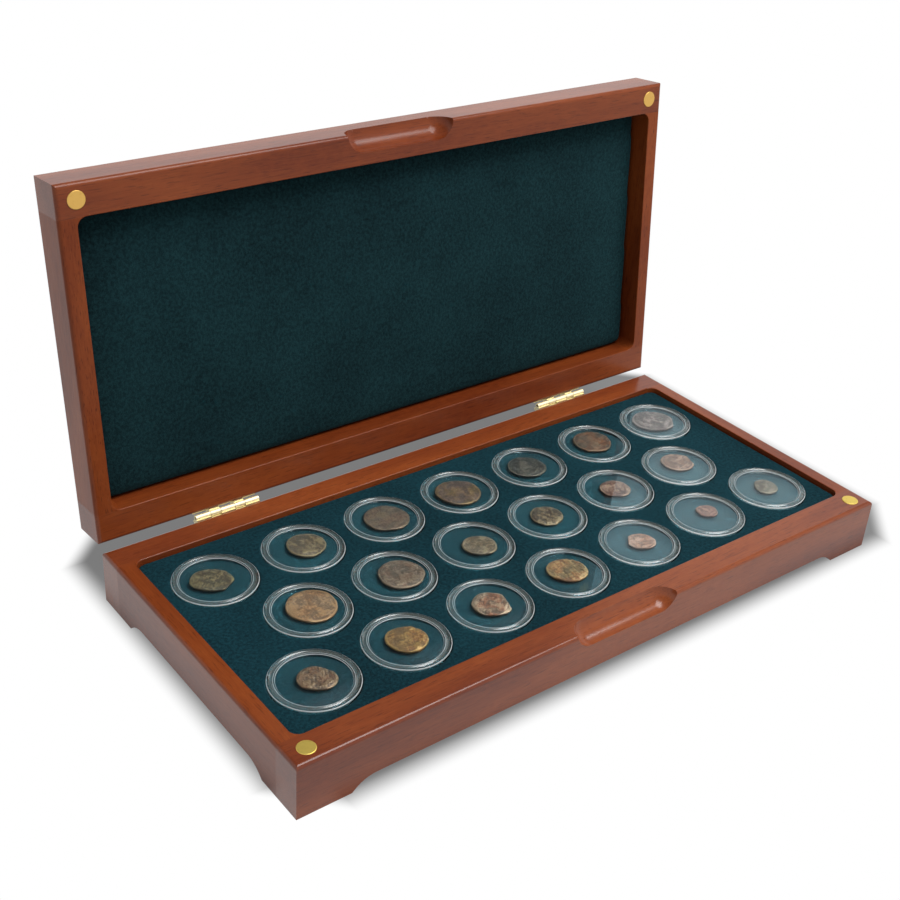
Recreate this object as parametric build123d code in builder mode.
"""Coin display case: a hinged wooden box whose velvet tray holds twenty coins in clear capsules.

Millimetres, +Z up, +X to the right, +Y to the back. The feet stand on Z = 0, and the origin is under the
middle of the whole case with its lid open, which is how it is drawn. The lid is modelled shut, on the
same axes as the base, and is swung open about the hinge axis when it is written.
"""
import math
import os

from build123d import *

# ------------------------------------------------------------------ driving dimensions
# Case
case_width = 340.0
case_depth = 164.0
base_height = 26.4  # feet included
lid_thickness = 21.6
closing_gap = 0.6  # between the two rims of the shut case, kept by the magnets
side_rail_width = 8.2
front_rail_width = 14.7
back_rail_width = 14.5
corner_radius = 4.5  # inside corners of both recesses
rim_round = 1.8  # outer edges of the rims
recess_round = 0.4  # inner edges of the rims
lid_top_round = 2.4

# Bracket feet
foot_length = 25.3
foot_sweep = 11.5  # from the end of a foot to the full height of the arch
foot_knee = (0.34, 0.6)  # where the sweep turns flat, as shares of its length and of the arch's height
arch_height = 5.2

# Panels
bottom_panel_thickness = 5.0
bottom_panel_height = 7.3  # its underside
panel_tongue = 3.5  # how far a panel reaches into the rails
panel_play = 0.1
top_panel_thickness = 5.0
top_panel_chamfer = 0.4

# Finger scoops
scoop_length = 60.0
scoop_radius = 9.0
scoop_rise = 1.4  # of the scoop's axis over the base rim

# Velvet tray and lid pad
tray_drop = 2.5  # of the velvet below the base rim
velvet_play = 0.3
velvet_round = 0.8
velvet_wall = 0.8  # least, between two pockets
rounded_share = 0.45  # most of a velvet wall that one round may take
lid_recess_depth = 9.4

# Capsules
capsule_diameter = 38.8
capsule_height = 4.6
columns = 7  # in the back row; every other row is one shorter and stands in between
rows = 3
row_end_less = 0.8  # less room at the ends of a row than between its capsules
row_side_extra = 0.14  # more room beside the outer rows than the rows have to spare between them
rows_forward = 1.2  # of the middle row in front of the recess's middle
capsule_proud = 0.8  # over the velvet
capsule_play = 0.3
capsule_seat_gap = 0.02
capsule_ring_width = 3.6
capsule_wall = 0.9
cup_floor_thickness = 1.6
capsule_flange_height = 1.3
capsule_edge_round = 0.5
capsule_joint_play = 0.05
window_recess = 0.3
ring_groove_width = 0.5
ring_groove_depth = 0.3
cup_wall_width = 1.4

# Magnets
magnet_diameter = 8.0
magnet_length = 3.0
magnet_round = 0.35
magnet_play = 0.05
magnet_contact_gap = 0.04
magnet_from_side = 8.9
magnet_from_front = 7.3

# Hinges
open_angle = 95.4  # degrees, where the stops meet
hinge_standoff = 2.0  # of the pin's axis behind the back faces
hinge_from_middle = 105.5
knuckle_lengths = (7.6, 5.4, 7.6, 5.4, 7.6)
knuckle_gap = 0.25
barrel_radius = 1.4
barrel_play = 0.2
pin_radius = 0.65
pin_play = 0.05
pin_recess = 0.5
leaf_thickness = 1.1
knuckle_from_axis = 0.5  # heights over or under the pin's axis: where a knuckle's web begins,
base_leaf_from_axis = 1.3  # where the base leaf begins between its knuckles,
lid_leaf_from_axis = 2.6  # where the lid leaf does,
leaf_reach = 14.0  # where a leaf ends
heel_reach = 5.0  # and where its heel does
stop_reach = 3.6
stop_play = 0.15  # degrees
screw_from_axis = 10.6
screw_spacing = 11.6
screw_radius = 0.95
screw_head_radius = 1.9
screw_length = 8.0
screw_play = 0.05
screw_slot_width = 0.4
screw_slot_depth = 0.35

# Coins, one line each: diameter, thickness, how far it lies from its capsule's middle in X and Y, as
# shares of the room it has to slide, and how much longer than round it is along coin_oval_direction, as
# a share of the radius.
# With more capsules than lines, the coins start again at the first line.
coin_sizes = (
    (18.3, 1.2, -0.07, 0.34, 0.11),
    (18.8, 1.2, 0.49, 0.43, 0.0),
    (22.1, 1.1, 0.48, 0.36, 0.03),
    (22.8, 1.3, 0.13, 0.34, 0.03),
    (19.9, 1.2, 0.09, 0.37, 0.03),
    (21.0, 1.2, 0.36, 0.61, -0.01),
    (22.5, 1.3, 0.30, 0.54, 0.07),
    (23.4, 1.2, 0.70, 0.60, 0.0),
    (21.9, 1.2, 0.78, 0.20, 0.0),
    (16.3, 1.1, 0.43, 0.02, 0.05),
    (16.6, 1.1, 0.22, 0.29, 0.0),
    (15.6, 1.1, 0.30, 0.31, 0.03),
    (17.3, 1.1, 0.45, 0.52, 0.04),
    (16.3, 1.2, 0.31, 0.23, 0.06),
    (18.1, 1.4, 0.26, 0.30, 0.04),
    (17.8, 1.3, 0.33, 0.25, 0.06),
    (18.8, 1.2, 0.36, 0.43, 0.06),
    (13.6, 1.1, 0.31, 0.16, 0.07),
    (10.8, 1.0, 0.42, 0.27, 0.04),
    (12.9, 1.0, 0.26, 0.26, -0.05),
)
coin_oval_direction = math.radians(-37)
coin_play = 0.1  # least, to the cup's wall
# Flats left by chipping: coin number, direction in degrees, and distance from the middle as a share
# of the radius
coin_flats = ((1, -60, 0.93), (7, -42, 0.98), (13, -19, 0.9), (14, 35, 0.8), (16, -16, 0.8), (18, 140, 0.92))
coin_unevenness = 0.022  # of the radius
coin_waves = ((3, 0.6, 2.9), (5, 0.35, 4.3))  # lobes, strength, turn per coin in radians
coin_outline_points = 15
coin_edge = 0.3

# ------------------------------------------------------------------ sizes that follow
stop_turn = math.radians(open_angle)
lid_reach = (  # how far the open lid stands out behind the base
    hinge_standoff
    - (case_depth + hinge_standoff) * math.cos(stop_turn)
    + (closing_gap / 2 + lid_thickness) * math.sin(stop_turn)
    - lid_top_round * (math.sin(stop_turn) - math.cos(stop_turn) - 1)
)
middle_y = -lid_reach / 2
front_y = middle_y - case_depth / 2
back_y = middle_y + case_depth / 2

recess_width = case_width - 2 * side_rail_width
recess_depth = case_depth - front_rail_width - back_rail_width
recess_middle_y = middle_y + (front_rail_width - back_rail_width) / 2
front_joint_y = front_y + front_rail_width
back_joint_y = back_y - back_rail_width

lid_rim = base_height + closing_gap
lid_top = lid_rim + lid_thickness
hinge_y = back_y + hinge_standoff
hinge_z = base_height + closing_gap / 2
hinge_length = sum(knuckle_lengths)
hinge_places = (-hinge_from_middle, hinge_from_middle)

velvet_top = base_height - tray_drop
capsule_floor = velvet_top + capsule_proud - capsule_height
bottom_panel_top = bottom_panel_height + bottom_panel_thickness
pocket_radius = capsule_diameter / 2 + capsule_play
cup_room = capsule_diameter / 2 - capsule_wall - cup_wall_width
magnet_proud = (closing_gap - magnet_contact_gap) / 2
magnet_x = case_width / 2 - magnet_from_side
magnet_places = [(side * magnet_x, front_y + magnet_from_front) for side in (-1, 1)]
screw_places = [place + step * screw_spacing for place in hinge_places for step in (-1, 0, 1)]


# The capsules of a row share the recess's width, and the rows share what its depth leaves over their
# tightest nesting.
capsule_gap = (recess_width - columns * capsule_diameter + 2 * row_end_less) / (columns + 1)
capsule_pitch = capsule_diameter + capsule_gap
nearest_pockets = 2 * pocket_radius + velvet_wall
tightest_rows = math.sqrt(nearest_pockets**2 - (capsule_pitch / 2) ** 2)
spare_depth = recess_depth - capsule_diameter - (rows - 1) * tightest_rows
row_spacing = tightest_rows + (spare_depth - 2 * row_side_extra) / (rows + 1)
between_pockets = capsule_gap - 2 * capsule_play
beside_pockets = capsule_gap - row_end_less - capsule_play - velvet_play
before_pockets = (
    recess_depth / 2 - velvet_play - rows_forward - row_spacing * (rows - 1) / 2 - pocket_radius
)
thinnest_velvet = min(between_pockets, beside_pockets, before_pockets)
pocket_round = min(velvet_round, rounded_share * thinnest_velvet)
capsule_places = []
for row in range(rows):
    in_row = columns - row % 2
    y = recess_middle_y - rows_forward + row_spacing * ((rows - 1) / 2 - row)
    capsule_places += [(capsule_pitch * (column - (in_row - 1) / 2), y) for column in range(in_row)]


def level(z):
    """A horizontal plane at height z, centred on the case."""
    return Plane(origin=(0, middle_y, z))


def recess_level(z):
    """A horizontal plane at height z, centred on the recesses."""
    return Plane(origin=(0, recess_middle_y, z))


def into_back(z):
    """The plane of the back faces at height z, facing into the wood."""
    return Plane(origin=(0, back_y, z), x_dir=(1, 0, 0), z_dir=(0, -1, 0))


# ------------------------------------------------------------------ shared cuts
def foot_arch(half_length):
    """Outline of the arch between two bracket feet, half_length from the middle to the corner."""
    foot_end = half_length - foot_length
    sweep = [
        (foot_end, 0),
        (foot_end - foot_knee[0] * foot_sweep, foot_knee[1] * arch_height),
        (foot_end - foot_sweep, arch_height),
    ]
    with BuildLine() as outline:
        Spline(*sweep, tangents=((-1, 1), (-1, 0)))
        Line(sweep[-1], (0, arch_height))
        mirror(about=Plane.YZ)
        Line((-foot_end, 0), (foot_end, 0))
    make_face(outline.edges())


def cut_scoop():
    """The finger hollow across the meeting line of the front rails: a round bar with round ends."""
    straight = scoop_length - 2 * scoop_radius
    with Locations((0, front_y, base_height + scoop_rise)):
        Cylinder(scoop_radius, straight, rotation=(0, 90, 0), mode=Mode.SUBTRACT)
        with Locations((-straight / 2, 0, 0), (straight / 2, 0, 0)):
            Sphere(scoop_radius, mode=Mode.SUBTRACT)


def cut_magnet_pockets(rim, inward):
    """Two round pockets in a front rail, from its rim inward (1 is up, -1 is down)."""
    with BuildSketch(Plane.XY.offset(rim)) as pockets:
        with Locations(*magnet_places):
            Circle(magnet_diameter / 2 + magnet_play)
    extrude(pockets.sketch, amount=inward * (magnet_length - magnet_proud), mode=Mode.SUBTRACT)


def cut_screw_holes(side):
    """Pilot holes for the screws of both leaves on one side of the pin's axis (1 is up, -1 is down)."""
    with BuildSketch(into_back(hinge_z + side * screw_from_axis)) as holes:
        with Locations(*[(x, 0) for x in screw_places]):
            Circle(screw_radius + screw_play)
    extrude(holes.sketch, amount=screw_length, mode=Mode.SUBTRACT)


def rail(frame, *cuts):
    """One rail: what a frame keeps on the side that each cutting plane faces."""
    with BuildPart() as piece:
        add(frame.part)
        for plane in cuts:
            split(bisect_by=plane, keep=Keep.TOP)
    return piece


def four_rails(frame):
    """Front and back rails run the whole width, and the side rails stand between them."""
    before_front = Plane(origin=(0, front_joint_y, 0), z_dir=(0, -1, 0))
    behind_front = Plane(origin=(0, front_joint_y, 0), z_dir=(0, 1, 0))
    before_back = Plane(origin=(0, back_joint_y, 0), z_dir=(0, -1, 0))
    behind_back = Plane(origin=(0, back_joint_y, 0), z_dir=(0, 1, 0))
    left = Plane(origin=(0, 0, 0), z_dir=(-1, 0, 0))
    right = Plane(origin=(0, 0, 0), z_dir=(1, 0, 0))
    return {
        "front_rail": rail(frame, before_front),
        "back_rail": rail(frame, behind_back),
        "left_rail": rail(frame, behind_front, before_back, left),
        "right_rail": rail(frame, behind_front, before_back, right),
    }


# ------------------------------------------------------------------ base
with BuildPart() as base_frame:
    with BuildSketch(level(0)):
        Rectangle(case_width, case_depth)
    extrude(amount=base_height)
    with BuildSketch(recess_level(0)):
        RectangleRounded(recess_width, recess_depth, corner_radius)
    extrude(amount=base_height, mode=Mode.SUBTRACT)
    fillet(base_frame.faces().sort_by(Axis.Z)[-1].outer_wire().edges(), rim_round)
    fillet(base_frame.faces().sort_by(Axis.Z)[-1].inner_wires()[0].edges(), recess_round)
    with BuildSketch(Plane.XZ):
        foot_arch(case_width / 2)
    extrude(amount=case_depth + lid_reach, both=True, mode=Mode.SUBTRACT)
    with BuildSketch(Plane(origin=(0, middle_y, 0), x_dir=(0, 1, 0), z_dir=(1, 0, 0))):
        foot_arch(case_depth / 2)
    extrude(amount=case_width, both=True, mode=Mode.SUBTRACT)
    with BuildSketch(recess_level(bottom_panel_height)):
        Rectangle(recess_width + 2 * panel_tongue, recess_depth + 2 * panel_tongue)
    extrude(amount=bottom_panel_thickness, mode=Mode.SUBTRACT)
    cut_scoop()
    cut_magnet_pockets(base_height, -1)
    cut_screw_holes(-1)

with BuildPart() as base_bottom_panel:
    with BuildSketch(recess_level(bottom_panel_height)):
        Rectangle(
            recess_width + 2 * (panel_tongue - panel_play),
            recess_depth + 2 * (panel_tongue - panel_play),
        )
    extrude(amount=bottom_panel_thickness)

with BuildPart() as tray_underlay:
    with BuildSketch(recess_level(bottom_panel_top)):
        RectangleRounded(recess_width - 2 * velvet_play, recess_depth - 2 * velvet_play, corner_radius)
    extrude(amount=capsule_floor - capsule_seat_gap - bottom_panel_top)

with BuildPart() as coin_tray:
    with BuildSketch(recess_level(capsule_floor - capsule_seat_gap)):
        RectangleRounded(recess_width - 2 * velvet_play, recess_depth - 2 * velvet_play, corner_radius)
    extrude(amount=velvet_top - capsule_floor + capsule_seat_gap)
    with BuildSketch(Plane.XY.offset(capsule_floor - capsule_seat_gap)):
        with Locations(*capsule_places):
            Circle(pocket_radius)
    extrude(amount=velvet_top - capsule_floor + capsule_seat_gap, mode=Mode.SUBTRACT)
    fillet(coin_tray.faces().sort_by(Axis.Z)[-1].edges(), pocket_round)

with BuildPart() as base_magnets:
    with BuildSketch(Plane.XY.offset(base_height + magnet_proud)):
        with Locations(*magnet_places):
            Circle(magnet_diameter / 2)
    extrude(amount=-magnet_length)
    fillet(base_magnets.faces().group_by(Axis.Z)[-1].edges(), magnet_round)

# ------------------------------------------------------------------ lid, modelled shut
with BuildPart() as lid_frame:
    with BuildSketch(level(lid_rim)):
        Rectangle(case_width, case_depth)
    extrude(amount=lid_thickness)
    with BuildSketch(recess_level(lid_rim)):
        RectangleRounded(recess_width, recess_depth, corner_radius)
    extrude(amount=lid_thickness, mode=Mode.SUBTRACT)
    fillet(lid_frame.faces().sort_by(Axis.Z)[-1].outer_wire().edges(), lid_top_round)
    fillet(lid_frame.faces().sort_by(Axis.Z)[0].outer_wire().edges(), rim_round)
    fillet(lid_frame.faces().sort_by(Axis.Z)[0].inner_wires()[0].edges(), recess_round)
    with BuildSketch(recess_level(lid_top - top_panel_thickness)):
        RectangleRounded(
            recess_width + 2 * panel_tongue, recess_depth + 2 * panel_tongue, corner_radius + panel_tongue
        )
    extrude(amount=top_panel_thickness, mode=Mode.SUBTRACT)
    cut_scoop()
    cut_magnet_pockets(lid_rim, 1)
    cut_screw_holes(1)

with BuildPart() as lid_top_panel:
    with BuildSketch(recess_level(lid_top - top_panel_thickness)):
        RectangleRounded(
            recess_width + 2 * (panel_tongue - panel_play),
            recess_depth + 2 * (panel_tongue - panel_play),
            corner_radius + panel_tongue - panel_play,
        )
    extrude(amount=top_panel_thickness)
    chamfer(lid_top_panel.faces().sort_by(Axis.Z)[-1].edges(), top_panel_chamfer)

with BuildPart() as lid_pad:
    with BuildSketch(recess_level(lid_rim + lid_recess_depth)):
        RectangleRounded(recess_width - 2 * velvet_play, recess_depth - 2 * velvet_play, corner_radius)
    extrude(amount=lid_thickness - top_panel_thickness - lid_recess_depth)
    fillet(lid_pad.faces().sort_by(Axis.Z)[0].edges(), velvet_round)

with BuildPart() as lid_magnets:
    with BuildSketch(Plane.XY.offset(lid_rim - magnet_proud)):
        with Locations(*magnet_places):
            Circle(magnet_diameter / 2)
    extrude(amount=magnet_length)
    fillet(lid_magnets.faces().group_by(Axis.Z)[0].edges(), magnet_round)


# ------------------------------------------------------------------ hinges
def across_hinge(x):
    """The plane across the pin at x: its X is the case's Y and its Y is the case's Z."""
    return Plane(origin=(x, hinge_y, hinge_z), x_dir=(0, 1, 0), z_dir=(1, 0, 0))


def leaf_outline(side, from_axis):
    """Section of a leaf: a plate on the back face, a heel behind it, and the slant that is the stop."""
    stop = math.radians(open_angle / 2 + stop_play)
    with BuildLine() as outline:
        Polyline(
            (-hinge_standoff, side * from_axis),
            (from_axis / math.tan(stop), side * from_axis),
            (stop_reach * math.cos(stop), side * stop_reach * math.sin(stop)),
            (-hinge_standoff + leaf_thickness, side * heel_reach),
            (-hinge_standoff + leaf_thickness, side * leaf_reach),
            (-hinge_standoff, side * leaf_reach),
            close=True,
        )
    make_face(outline.edges())


def plate_outline(side, from_axis):
    """Section of a leaf that is only a plate on the back face."""
    with Locations((-hinge_standoff + leaf_thickness / 2, side * (from_axis + leaf_reach) / 2)):
        Rectangle(leaf_thickness, leaf_reach - from_axis)


def hinge_leaf(x, side, knuckles):
    """One leaf around the pin whose middle is at x, with its own knuckles by number from the left."""
    start = x - hinge_length / 2
    with BuildSketch(across_hinge(start)) as plate:
        if side < 0:
            leaf_outline(side, base_leaf_from_axis)
            Circle(barrel_radius + barrel_play, mode=Mode.SUBTRACT)
        else:
            plate_outline(side, lid_leaf_from_axis)
    extrude(plate.sketch, amount=hinge_length)
    for number in knuckles:
        before = knuckle_gap / 2 if number > 0 else 0
        after = knuckle_gap / 2 if number < len(knuckle_lengths) - 1 else 0
        with BuildSketch(across_hinge(start + sum(knuckle_lengths[:number]) + before)) as knuckle:
            leaf_outline(side, knuckle_from_axis)
            Circle(barrel_radius)
        extrude(knuckle.sketch, amount=knuckle_lengths[number] - before - after)
    with BuildSketch(across_hinge(start)) as bore:
        Circle(pin_radius + pin_play)
    extrude(bore.sketch, amount=hinge_length, mode=Mode.SUBTRACT)


def leaf_pair(side, knuckles):
    """The left and the right leaf on one side of the pins, with countersunk screw holes."""
    with BuildPart() as leaves:
        for x in hinge_places:
            hinge_leaf(x, side, knuckles)
        middle = (0, back_y + leaf_thickness, hinge_z + side * screw_from_axis)
        hole = screw_radius + screw_play
        with Locations(Plane(origin=middle, x_dir=(1, 0, 0), z_dir=(0, 1, 0))):
            with Locations(*[(x, 0) for x in screw_places]):
                CounterSinkHole(hole, screw_head_radius + screw_play, depth=leaf_thickness)
    return leaves


def hinge_screws(side):
    """Countersunk screws of both leaves on one side of the pins."""
    head_depth = screw_head_radius - screw_radius
    middle = (0, back_y + leaf_thickness, hinge_z + side * screw_from_axis)
    sunk = (Align.CENTER, Align.CENTER, Align.MAX)
    with BuildPart() as screws:
        with Locations(Location(middle, (-90, 0, 0))):
            with Locations(*[(x, 0) for x in screw_places]):
                Cylinder(screw_radius, screw_length, align=sunk)
                Cone(screw_radius, screw_head_radius, head_depth, align=sunk)
                Box(
                    screw_slot_width,
                    2 * screw_head_radius,
                    screw_slot_depth,
                    align=sunk,
                    mode=Mode.SUBTRACT,
                )
    return screws


base_hinge_leaves = leaf_pair(-1, (0, 2, 4))
lid_hinge_leaves = leaf_pair(1, (1, 3))
base_hinge_screws = hinge_screws(-1)
lid_hinge_screws = hinge_screws(1)

with BuildPart() as hinge_pins:
    for place in hinge_places:
        with BuildSketch(across_hinge(place - hinge_length / 2 + pin_recess)):
            Circle(pin_radius)
        extrude(amount=hinge_length - 2 * pin_recess)


# ------------------------------------------------------------------ capsules and coins
def capsule(place):
    """A clear cup with a cover whose skirt slips over the cup's wall down to its flange."""
    outside = capsule_diameter / 2
    window = outside - capsule_ring_width
    skirt = outside - capsule_wall + capsule_joint_play
    window_top = capsule_height - window_recess
    window_bottom = window_top - capsule_wall
    groove = (window + outside) / 2
    with BuildPart() as both:
        with BuildSketch(Plane(origin=(*place, capsule_floor), x_dir=(1, 0, 0), z_dir=(0, -1, 0))):
            with BuildLine():
                Polyline(
                    (0, 0),
                    (outside - capsule_edge_round, 0),
                    (outside, capsule_edge_round),
                    (outside, capsule_flange_height),
                    (outside - capsule_wall, capsule_flange_height),
                    (outside - capsule_wall, window_bottom - capsule_joint_play),
                    (cup_room, window_bottom - capsule_joint_play),
                    (cup_room, cup_floor_thickness),
                    (0, cup_floor_thickness),
                    close=True,
                )
            make_face()
        revolve(axis=Axis((*place, 0), (0, 0, 1)))
        with BuildSketch(Plane(origin=(*place, capsule_floor), x_dir=(1, 0, 0), z_dir=(0, -1, 0))):
            with BuildLine():
                Polyline(
                    (0, window_bottom),
                    (skirt, window_bottom),
                    (skirt, capsule_flange_height + capsule_joint_play),
                    (outside, capsule_flange_height + capsule_joint_play),
                    (outside, capsule_height - capsule_edge_round),
                    (outside - capsule_edge_round, capsule_height),
                    (groove + ring_groove_width / 2, capsule_height),
                    (groove + ring_groove_width / 2, capsule_height - ring_groove_depth),
                    (groove - ring_groove_width / 2, capsule_height - ring_groove_depth),
                    (groove - ring_groove_width / 2, capsule_height),
                    (window, capsule_height),
                    (window, window_top),
                    (0, window_top),
                    close=True,
                )
            make_face()
        revolve(axis=Axis((*place, 0), (0, 0, 1)))
    return both


def coin(number, place):
    """A hammered coin: an uneven disc, chipped flat where coin_flats says so."""
    diameter, thickness, aside, behind, oval = coin_sizes[(number - 1) % len(coin_sizes)]
    room = cup_room - diameter / 2 * (1 + abs(oval)) - coin_play
    middle = (place[0] + aside * room, place[1] + behind * room)
    floor = Plane(origin=(*middle, capsule_floor + cup_floor_thickness))

    def rim(step):
        turn = 2 * math.pi * step / coin_outline_points
        wave = sum(
            strength * math.cos(lobes * turn + phase * number)
            for lobes, strength, phase in coin_waves
        )
        longer = oval * math.cos(2 * (turn - coin_oval_direction))
        radius = diameter / 2 * (1 + coin_unevenness * (wave - 1) + longer)
        return (radius * math.cos(turn), radius * math.sin(turn))

    with BuildPart() as disc:
        with BuildSketch(floor):
            with BuildLine():
                Spline(*[rim(step) for step in range(coin_outline_points)], periodic=True)
            make_face()
            for who, direction, share in coin_flats:
                if who == number:
                    with Locations(Location((0, 0, 0), (0, 0, direction))):
                        with Locations((share * diameter / 2, 0)):
                            Rectangle(
                                diameter, 2 * diameter, align=(Align.MIN, Align.CENTER), mode=Mode.SUBTRACT
                            )
        extrude(amount=thickness)
        chamfer(disc.faces().sort_by(Axis.Z)[-1].edges(), coin_edge)
    return disc


# ------------------------------------------------------------------ writing
fixed_pieces = {f"base_{name}": piece for name, piece in four_rails(base_frame).items()}
fixed_pieces |= {
    "base_bottom_panel": base_bottom_panel,
    "tray_underlay": tray_underlay,
    "coin_tray": coin_tray,
    "base_magnets": base_magnets,
    "base_hinge_leaves": base_hinge_leaves,
    "base_hinge_screws": base_hinge_screws,
    "hinge_pins": hinge_pins,
}
for number, place in enumerate(capsule_places, start=1):
    fixed_pieces[f"capsule_{number:02d}"] = capsule(place)
    fixed_pieces[f"coin_{number:02d}"] = coin(number, place)

lid_pieces = {f"lid_{name}": piece for name, piece in four_rails(lid_frame).items()}
lid_pieces |= {
    "lid_top_panel": lid_top_panel,
    "lid_pad": lid_pad,
    "lid_magnets": lid_magnets,
    "lid_hinge_leaves": lid_hinge_leaves,
    "lid_hinge_screws": lid_hinge_screws,
}
hinge_axis = Axis((0, hinge_y, hinge_z), (1, 0, 0))

os.makedirs("parts", exist_ok=True)
for name, piece in fixed_pieces.items():
    piece.part.label = name
    export_step(piece.part, f"parts/{name}.step")
for name, piece in lid_pieces.items():
    opened = piece.part.rotate(hinge_axis, -open_angle)
    opened.label = name
    export_step(opened, f"parts/{name}.step")
